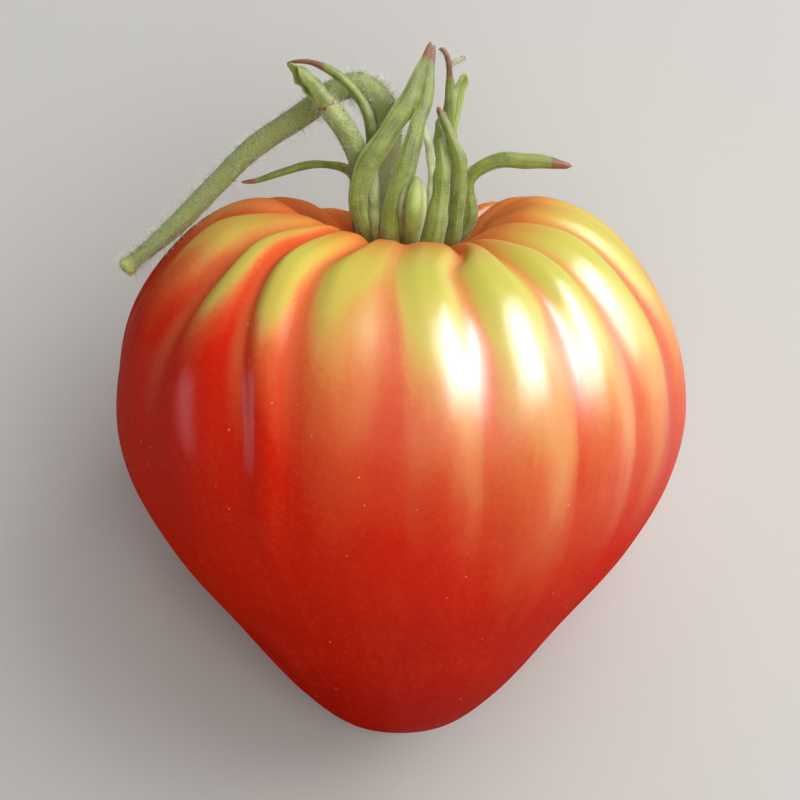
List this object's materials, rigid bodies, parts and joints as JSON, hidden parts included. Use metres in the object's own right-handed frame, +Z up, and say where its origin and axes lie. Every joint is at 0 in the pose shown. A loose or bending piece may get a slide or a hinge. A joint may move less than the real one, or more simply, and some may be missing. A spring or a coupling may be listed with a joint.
{
  "type": "oxheart tomato",
  "caption": "Ribbed, heart-shaped ripe tomato with a green calyx and an arched stalk, lying on its side as picked.",
  "frame": {"origin": "middle of the small flat spot that the fruit lies on, on its rear flank", "axes": "+Z up, +Y from the fruit's tip towards its stalk along the ground, +X to the fruit's right"},
  "size_m": [0.0997, 0.1062, 0.0854],
  "materials": {
    "ripe_skin": "glossy, waxy tomato skin, red with yellow-green streaks on the ribs of the shoulder",
    "sepal_green": "matte, finely hairy green leaf tissue with drying brown tips",
    "stalk_green": "matte green stalk, dotted and covered in fine white hairs"
  },
  "bodies": {
    "root": {"fruit": "ripe_skin", "calyx": "sepal_green", "stalk": "stalk_green"}
  },
  "joints": []
}
